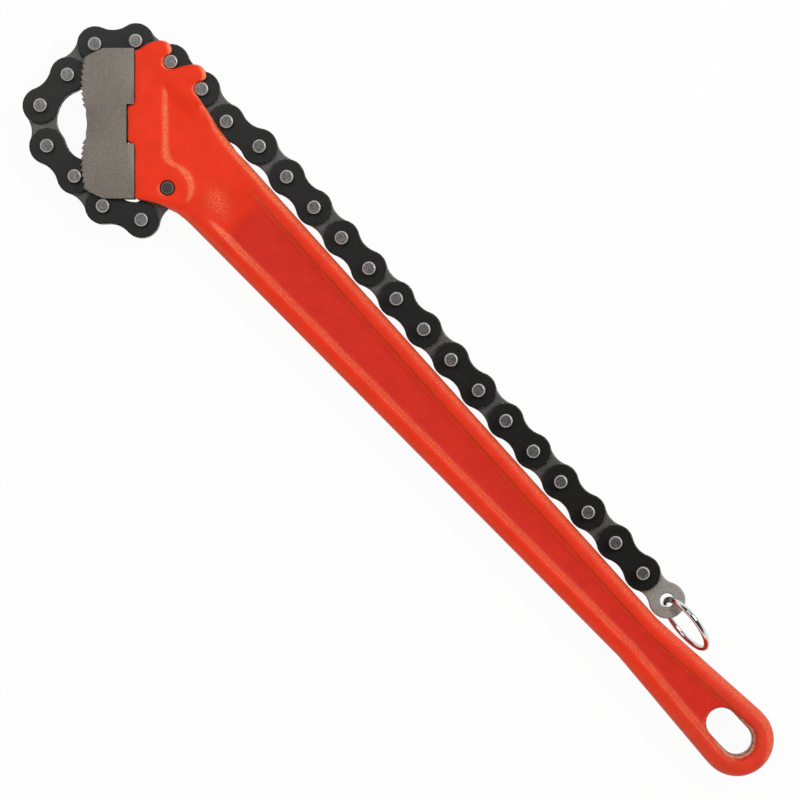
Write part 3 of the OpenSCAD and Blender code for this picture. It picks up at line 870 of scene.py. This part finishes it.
# a turned pin, chamfered at both ends
def pinMesh(name, shape):
    half = shape["half"]
    chamfer = shape["chamfer"]
    upper = [(shape["radius"] - chamfer - shape["flatBand"], half, 0.0)]
    for step in range(shape["steps"] + 1):
        share = step / shape["steps"]
        bulge = shape["bulge"] * chamfer * math.sin(math.pi * share)
        radius = shape["radius"] - chamfer * (1 - share) + bulge
        upper.append((radius, half - chamfer * share + bulge, shape["worn"]))
    upper.append((shape["radius"], half - chamfer - shape["sideBand"], 0.0))
    lower = [(radius, -level, worn) for radius, level, worn in upper]
    solid = startSolid()
    rings = []
    for radius, level, worn in lower + upper[::-1]:
        rings.append(addRing(solid, circle(radius, shape["sides"]), level, worn))
    joinRings(solid, rings)
    solid.faces.new(rings[-1])
    solid.faces.new(rings[0][::-1])
    return closeSolid(solid, name, shape["sharp"])


linkTree = makeLinkTree()
pinTree = makePinTree()
plateLayers = {
    "outer": {"thickness": 3.0, "spread": 5.875, "slot": "outer_links"},
    "inner": {"thickness": 4.0, "spread": 2.125, "slot": "inner_links"},
}
for layer in plateLayers.values():
    layer["mesh"] = plateMesh("plate", layer["thickness"])
pinTemplate = pinMesh("pin", pinShape)

for number in range(1, lastLink):
    kind = "outer" if number % 2 == 0 else "inner"
    layer = plateLayers[kind]
    first = pinPoint[number]
    second = pinPoint[number + 1]
    along = second - first
    label = "%s_link_%02d" % (kind, number)
    link = bakeTree("plates_%02d" % number, layer["mesh"], linkTree, {
        "Middle": (first + second) / 2,
        "Turn": Vector((0, 0, math.atan2(along.y, along.x))),
        "Spread": layer["spread"] * mm,
        "Finish": finish[layer["slot"]],
    })
    mountPiece(link, label, "link_%02d" % number, layer["slot"])
    if kind == "outer":
        pins = bakeTree("pins_%02d" % number, pinTemplate, pinTree, {
            "First": first, "Second": second, "Finish": finish["pins"],
        })
        mountPiece(pins, "link_pins_%02d" % number, "link_%02d" % number, "pins")
print("chain made:", lastLink - 1, "links")

# anchor pin: turned like the chain pins, to the size of its solid
low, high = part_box("anchor_pin")
anchorShape = {
    **pinShape, "radius": (high.x - low.x) / 2 / mm, "half": (high.z - low.z) / 2 / mm,
    "chamfer": 0.6, "sides": 40,
}
anchorMesh = pinMesh("anchor", anchorShape)
anchorMesh.transform(Matrix.Translation((low + high) / 2))
anchor = newPiece("anchor", anchorMesh)
mountPiece(anchor, "anchor_pin", "handle", "anchor")

# end ring: a smooth wire in the place and tilt of its solid
ringShape = {"wire": 1.45, "around": 96, "across": 24}


def makeRing():
    places = vertexArray(nodes["end_ring"].data)
    middle = (places.max(0) + places.min(0)) / 2
    axes = np.linalg.svd(places - middle, full_matrices=False)[2]
    reach = np.abs((places - middle) @ axes[0]).max()
    wire = ringShape["wire"] * mm
    bpy.ops.mesh.primitive_torus_add(
        major_segments=ringShape["around"], minor_segments=ringShape["across"],
        major_radius=reach - wire, minor_radius=wire)
    ring = bpy.context.object
    ring.name = "bright_ring"
    turn = Vector((0, 0, 1)).rotation_difference(Vector(axes[2])).to_matrix().to_4x4()
    ring.data.transform(Matrix.Translation(middle) @ turn)
    ring.data.shade_smooth()
    mountPiece(ring, "end_ring", "ring", "ring")


makeRing()
print("anchor pin and ring made")

# stage: white floor that keeps the shadow, white world for what looks past it
stageShape = {"floor": 30.0, "lift": 0.95, "matt": (0.85, 0.85, 0.85, 1.0)}
studio = {"overhead": 0.06, "overheadFrom": (0.25, 0.6), "soft": 0.62}


def makeStage():
    bpy.ops.mesh.primitive_plane_add(size=stageShape["floor"], location=(0, 0, 0))
    floor = bpy.context.object
    floor.name = "floor"
    material = bpy.data.materials.new("whiteFloor")
    material.use_nodes = True
    tree = material.node_tree
    tree.nodes.clear()
    out = tree.nodes.new("ShaderNodeOutputMaterial")
    path = tree.nodes.new("ShaderNodeLightPath")
    seen = maths(tree, "MAXIMUM", path.outputs["Is Camera Ray"], path.outputs["Is Glossy Ray"])
    seen = maths(tree, "MAXIMUM", seen, path.outputs["Is Transmission Ray"])
    share = maths(tree, "MULTIPLY", seen, stageShape["lift"])
    matt = addNode(tree, "ShaderNodeBsdfDiffuse", Color=stageShape["matt"])
    glow = addNode(tree, "ShaderNodeEmission", Color=white, Strength=1.0)
    mix = tree.nodes.new("ShaderNodeMixShader")
    for socket, value in zip(mix.inputs, (share, matt.outputs[0], glow.outputs[0])):
        tree.links.new(value, socket)
    tree.links.new(mix.outputs[0], out.inputs["Surface"])
    floor.data.materials.append(material)


# reflections see a dim ceiling above a white horizon, and soft light comes from all round
def makeWorld():
    world = bpy.data.worlds.new("studio")
    bpy.context.scene.world = world
    world.use_nodes = True
    tree = world.node_tree
    tree.nodes.clear()
    out = tree.nodes.new("ShaderNodeOutputWorld")
    path = tree.nodes.new("ShaderNodeLightPath")
    way = tree.nodes.new("ShaderNodeTexCoord")
    axes = addNode(tree, "ShaderNodeSeparateXYZ", Vector=way.outputs["Generated"])
    overhead = ramp(tree, axes.outputs["Z"], *studio["overheadFrom"], 1.0, studio["overhead"])
    level = maths(tree, "MAXIMUM", overhead, path.outputs["Is Camera Ray"])
    plain = maths(tree, "SUBTRACT", 1.0, path.outputs["Is Diffuse Ray"])
    level = maths(tree, "MULTIPLY", level, plain)
    soft = maths(tree, "MULTIPLY", path.outputs["Is Diffuse Ray"], studio["soft"])
    strength = maths(tree, "ADD", level, soft)
    back = addNode(tree, "ShaderNodeBackground", Color=white, Strength=strength)
    tree.links.new(back.outputs[0], out.inputs["Surface"])


# a rectangular lamp that looks at the middle of the part
def makeLight(name, place, size, power):
    lamp = bpy.data.lights.new(name, "AREA")
    lamp.shape = "RECTANGLE"
    lamp.size = size[0]
    lamp.size_y = size[1]
    lamp.energy = power
    light = bpy.data.objects.new(name, lamp)
    bpy.context.scene.collection.objects.link(light)
    light.location = place
    light.rotation_euler = (-Vector(place)).to_track_quat("-Z", "Y").to_euler()


lights = {
    "key": {"place": (0.3, 1.25, 2.1), "size": (0.9, 0.6), "power": 20.5},
    "fill": {"place": (-0.5, 0.1, 1.5), "size": (0.6, 0.6), "power": 2.5},
}
makeStage()
makeWorld()
for name, light in lights.items():
    makeLight(name, light["place"], light["size"], light["power"])
print("stage and lights made")

# camera straight above, turned so that the handle runs from upper left to lower right
cameraView = {
    "aim": (-6.76, 2.62, 21.0), "width": 372.2, "distance": 4000.0, "turn": 46.66,
    "sensor": 36.0, "far": 100.0,
}
lens = bpy.data.cameras.new("camera")
lens.sensor_width = cameraView["sensor"]
lens.lens = cameraView["sensor"] * cameraView["distance"] / cameraView["width"]
lens.clip_end = cameraView["far"]
camera = bpy.data.objects.new("camera", lens)
bpy.context.scene.collection.objects.link(camera)
turn = Matrix.Rotation(math.radians(cameraView["turn"]), 4, "Z")
aim = Matrix.Translation(Vector(cameraView["aim"]) * mm)
back = Matrix.Translation((0, 0, cameraView["distance"] * mm))
camera.matrix_world = aim @ turn @ back
bpy.context.scene.camera = camera
bpy.context.scene.view_settings.view_transform = "Standard"
